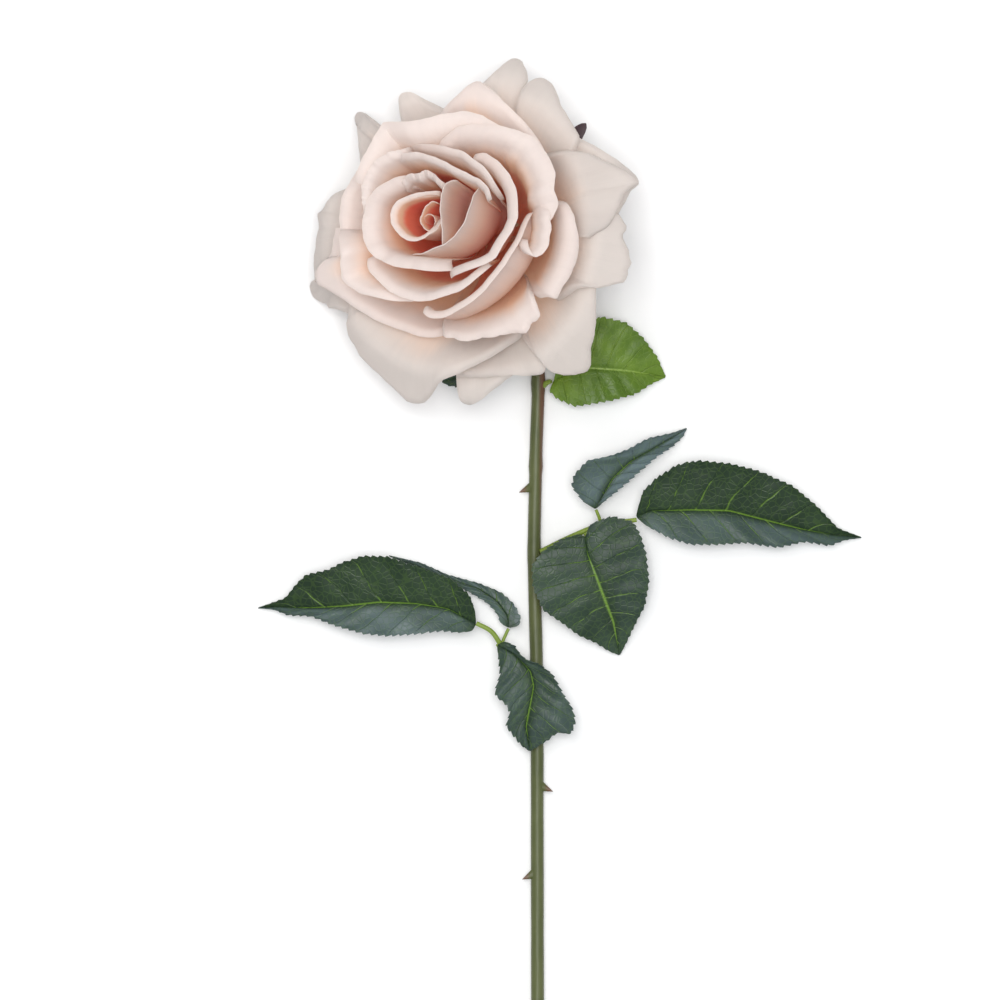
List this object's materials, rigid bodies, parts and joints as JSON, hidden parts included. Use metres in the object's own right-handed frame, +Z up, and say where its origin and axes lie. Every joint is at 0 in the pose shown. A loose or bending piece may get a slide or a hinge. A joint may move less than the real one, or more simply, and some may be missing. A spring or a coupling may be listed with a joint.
{
  "type": "cut rose",
  "caption": "Cut garden rose lying on its side stem: open double bloom facing up, reflexed pointed guard petals, thorny stem, serrated compound leaves.",
  "frame": {"origin": "centre of the footprint, on the surface that the rose lies on", "axes": "+Y along the stem from the cut end to the bloom, +Z up out of the surface, +X to the side of the single long leaflet"},
  "size_m": [0.2074, 0.399, 0.078],
  "materials": {
    "petal_heart": "matte",
    "petal": "matte",
    "petal_guard": "matte",
    "sepal": "matte",
    "hip": "satin",
    "stem": "satin",
    "leaf_stalk": "satin",
    "leaf": "satin",
    "leaf_young": "satin"
  },
  "bodies": {
    "root": {"petal_heart_1": "petal_heart", "petal_heart_2": "petal_heart", "petal_bud_1": "petal_heart", "petal_bud_2": "petal_heart", "petal_bud_3": "petal_heart", "petal_inner_1": "petal", "petal_inner_2": "petal", "petal_inner_3": "petal", "petal_inner_4": "petal", "petal_inner_5": "petal", "petal_middle_1": "petal", "petal_middle_2": "petal", "petal_middle_3": "petal", "petal_middle_4": "petal", "petal_middle_5": "petal", "petal_middle_6": "petal", "petal_middle_7": "petal", "petal_middle_8": "petal", "petal_middle_9": "petal", "petal_outer_1": "petal", "petal_outer_2": "petal", "petal_outer_3": "petal", "petal_outer_4": "petal", "petal_outer_5": "petal", "petal_guard_1": "petal_guard", "petal_guard_2": "petal_guard", "petal_guard_3": "petal_guard", "petal_guard_4": "petal_guard", "petal_guard_5": "petal_guard", "petal_guard_6": "petal_guard", "petal_guard_7": "petal_guard", "petal_guard_8": "petal_guard", "petal_guard_9": "petal_guard", "petal_guard_10": "petal_guard", "petal_guard_11": "petal_guard", "petal_guard_12": "petal_guard", "petal_guard_13": "petal_guard", "receptacle": "hip", "sepal_1": "sepal", "sepal_2": "sepal", "sepal_3": "sepal", "sepal_4": "sepal", "sepal_5": "sepal", "stem": "stem", "leaf_upper_right_stalk": "leaf_young", "leaf_upper_right_blade": "leaf_young", "leaf_upper_left_stalk": "leaf_stalk", "leaf_upper_left_blade": "leaf", "leaf_right_rachis": "leaf_stalk", "leaf_right_leaflet_1": "leaf", "leaf_right_leaflet_2": "leaf", "leaf_right_leaflet_3": "leaf", "leaf_left_rachis": "leaf_stalk", "leaf_left_leaflet_1": "leaf", "leaf_left_leaflet_2": "leaf", "leaf_left_leaflet_3": "leaf"}
  },
  "joints": []
}
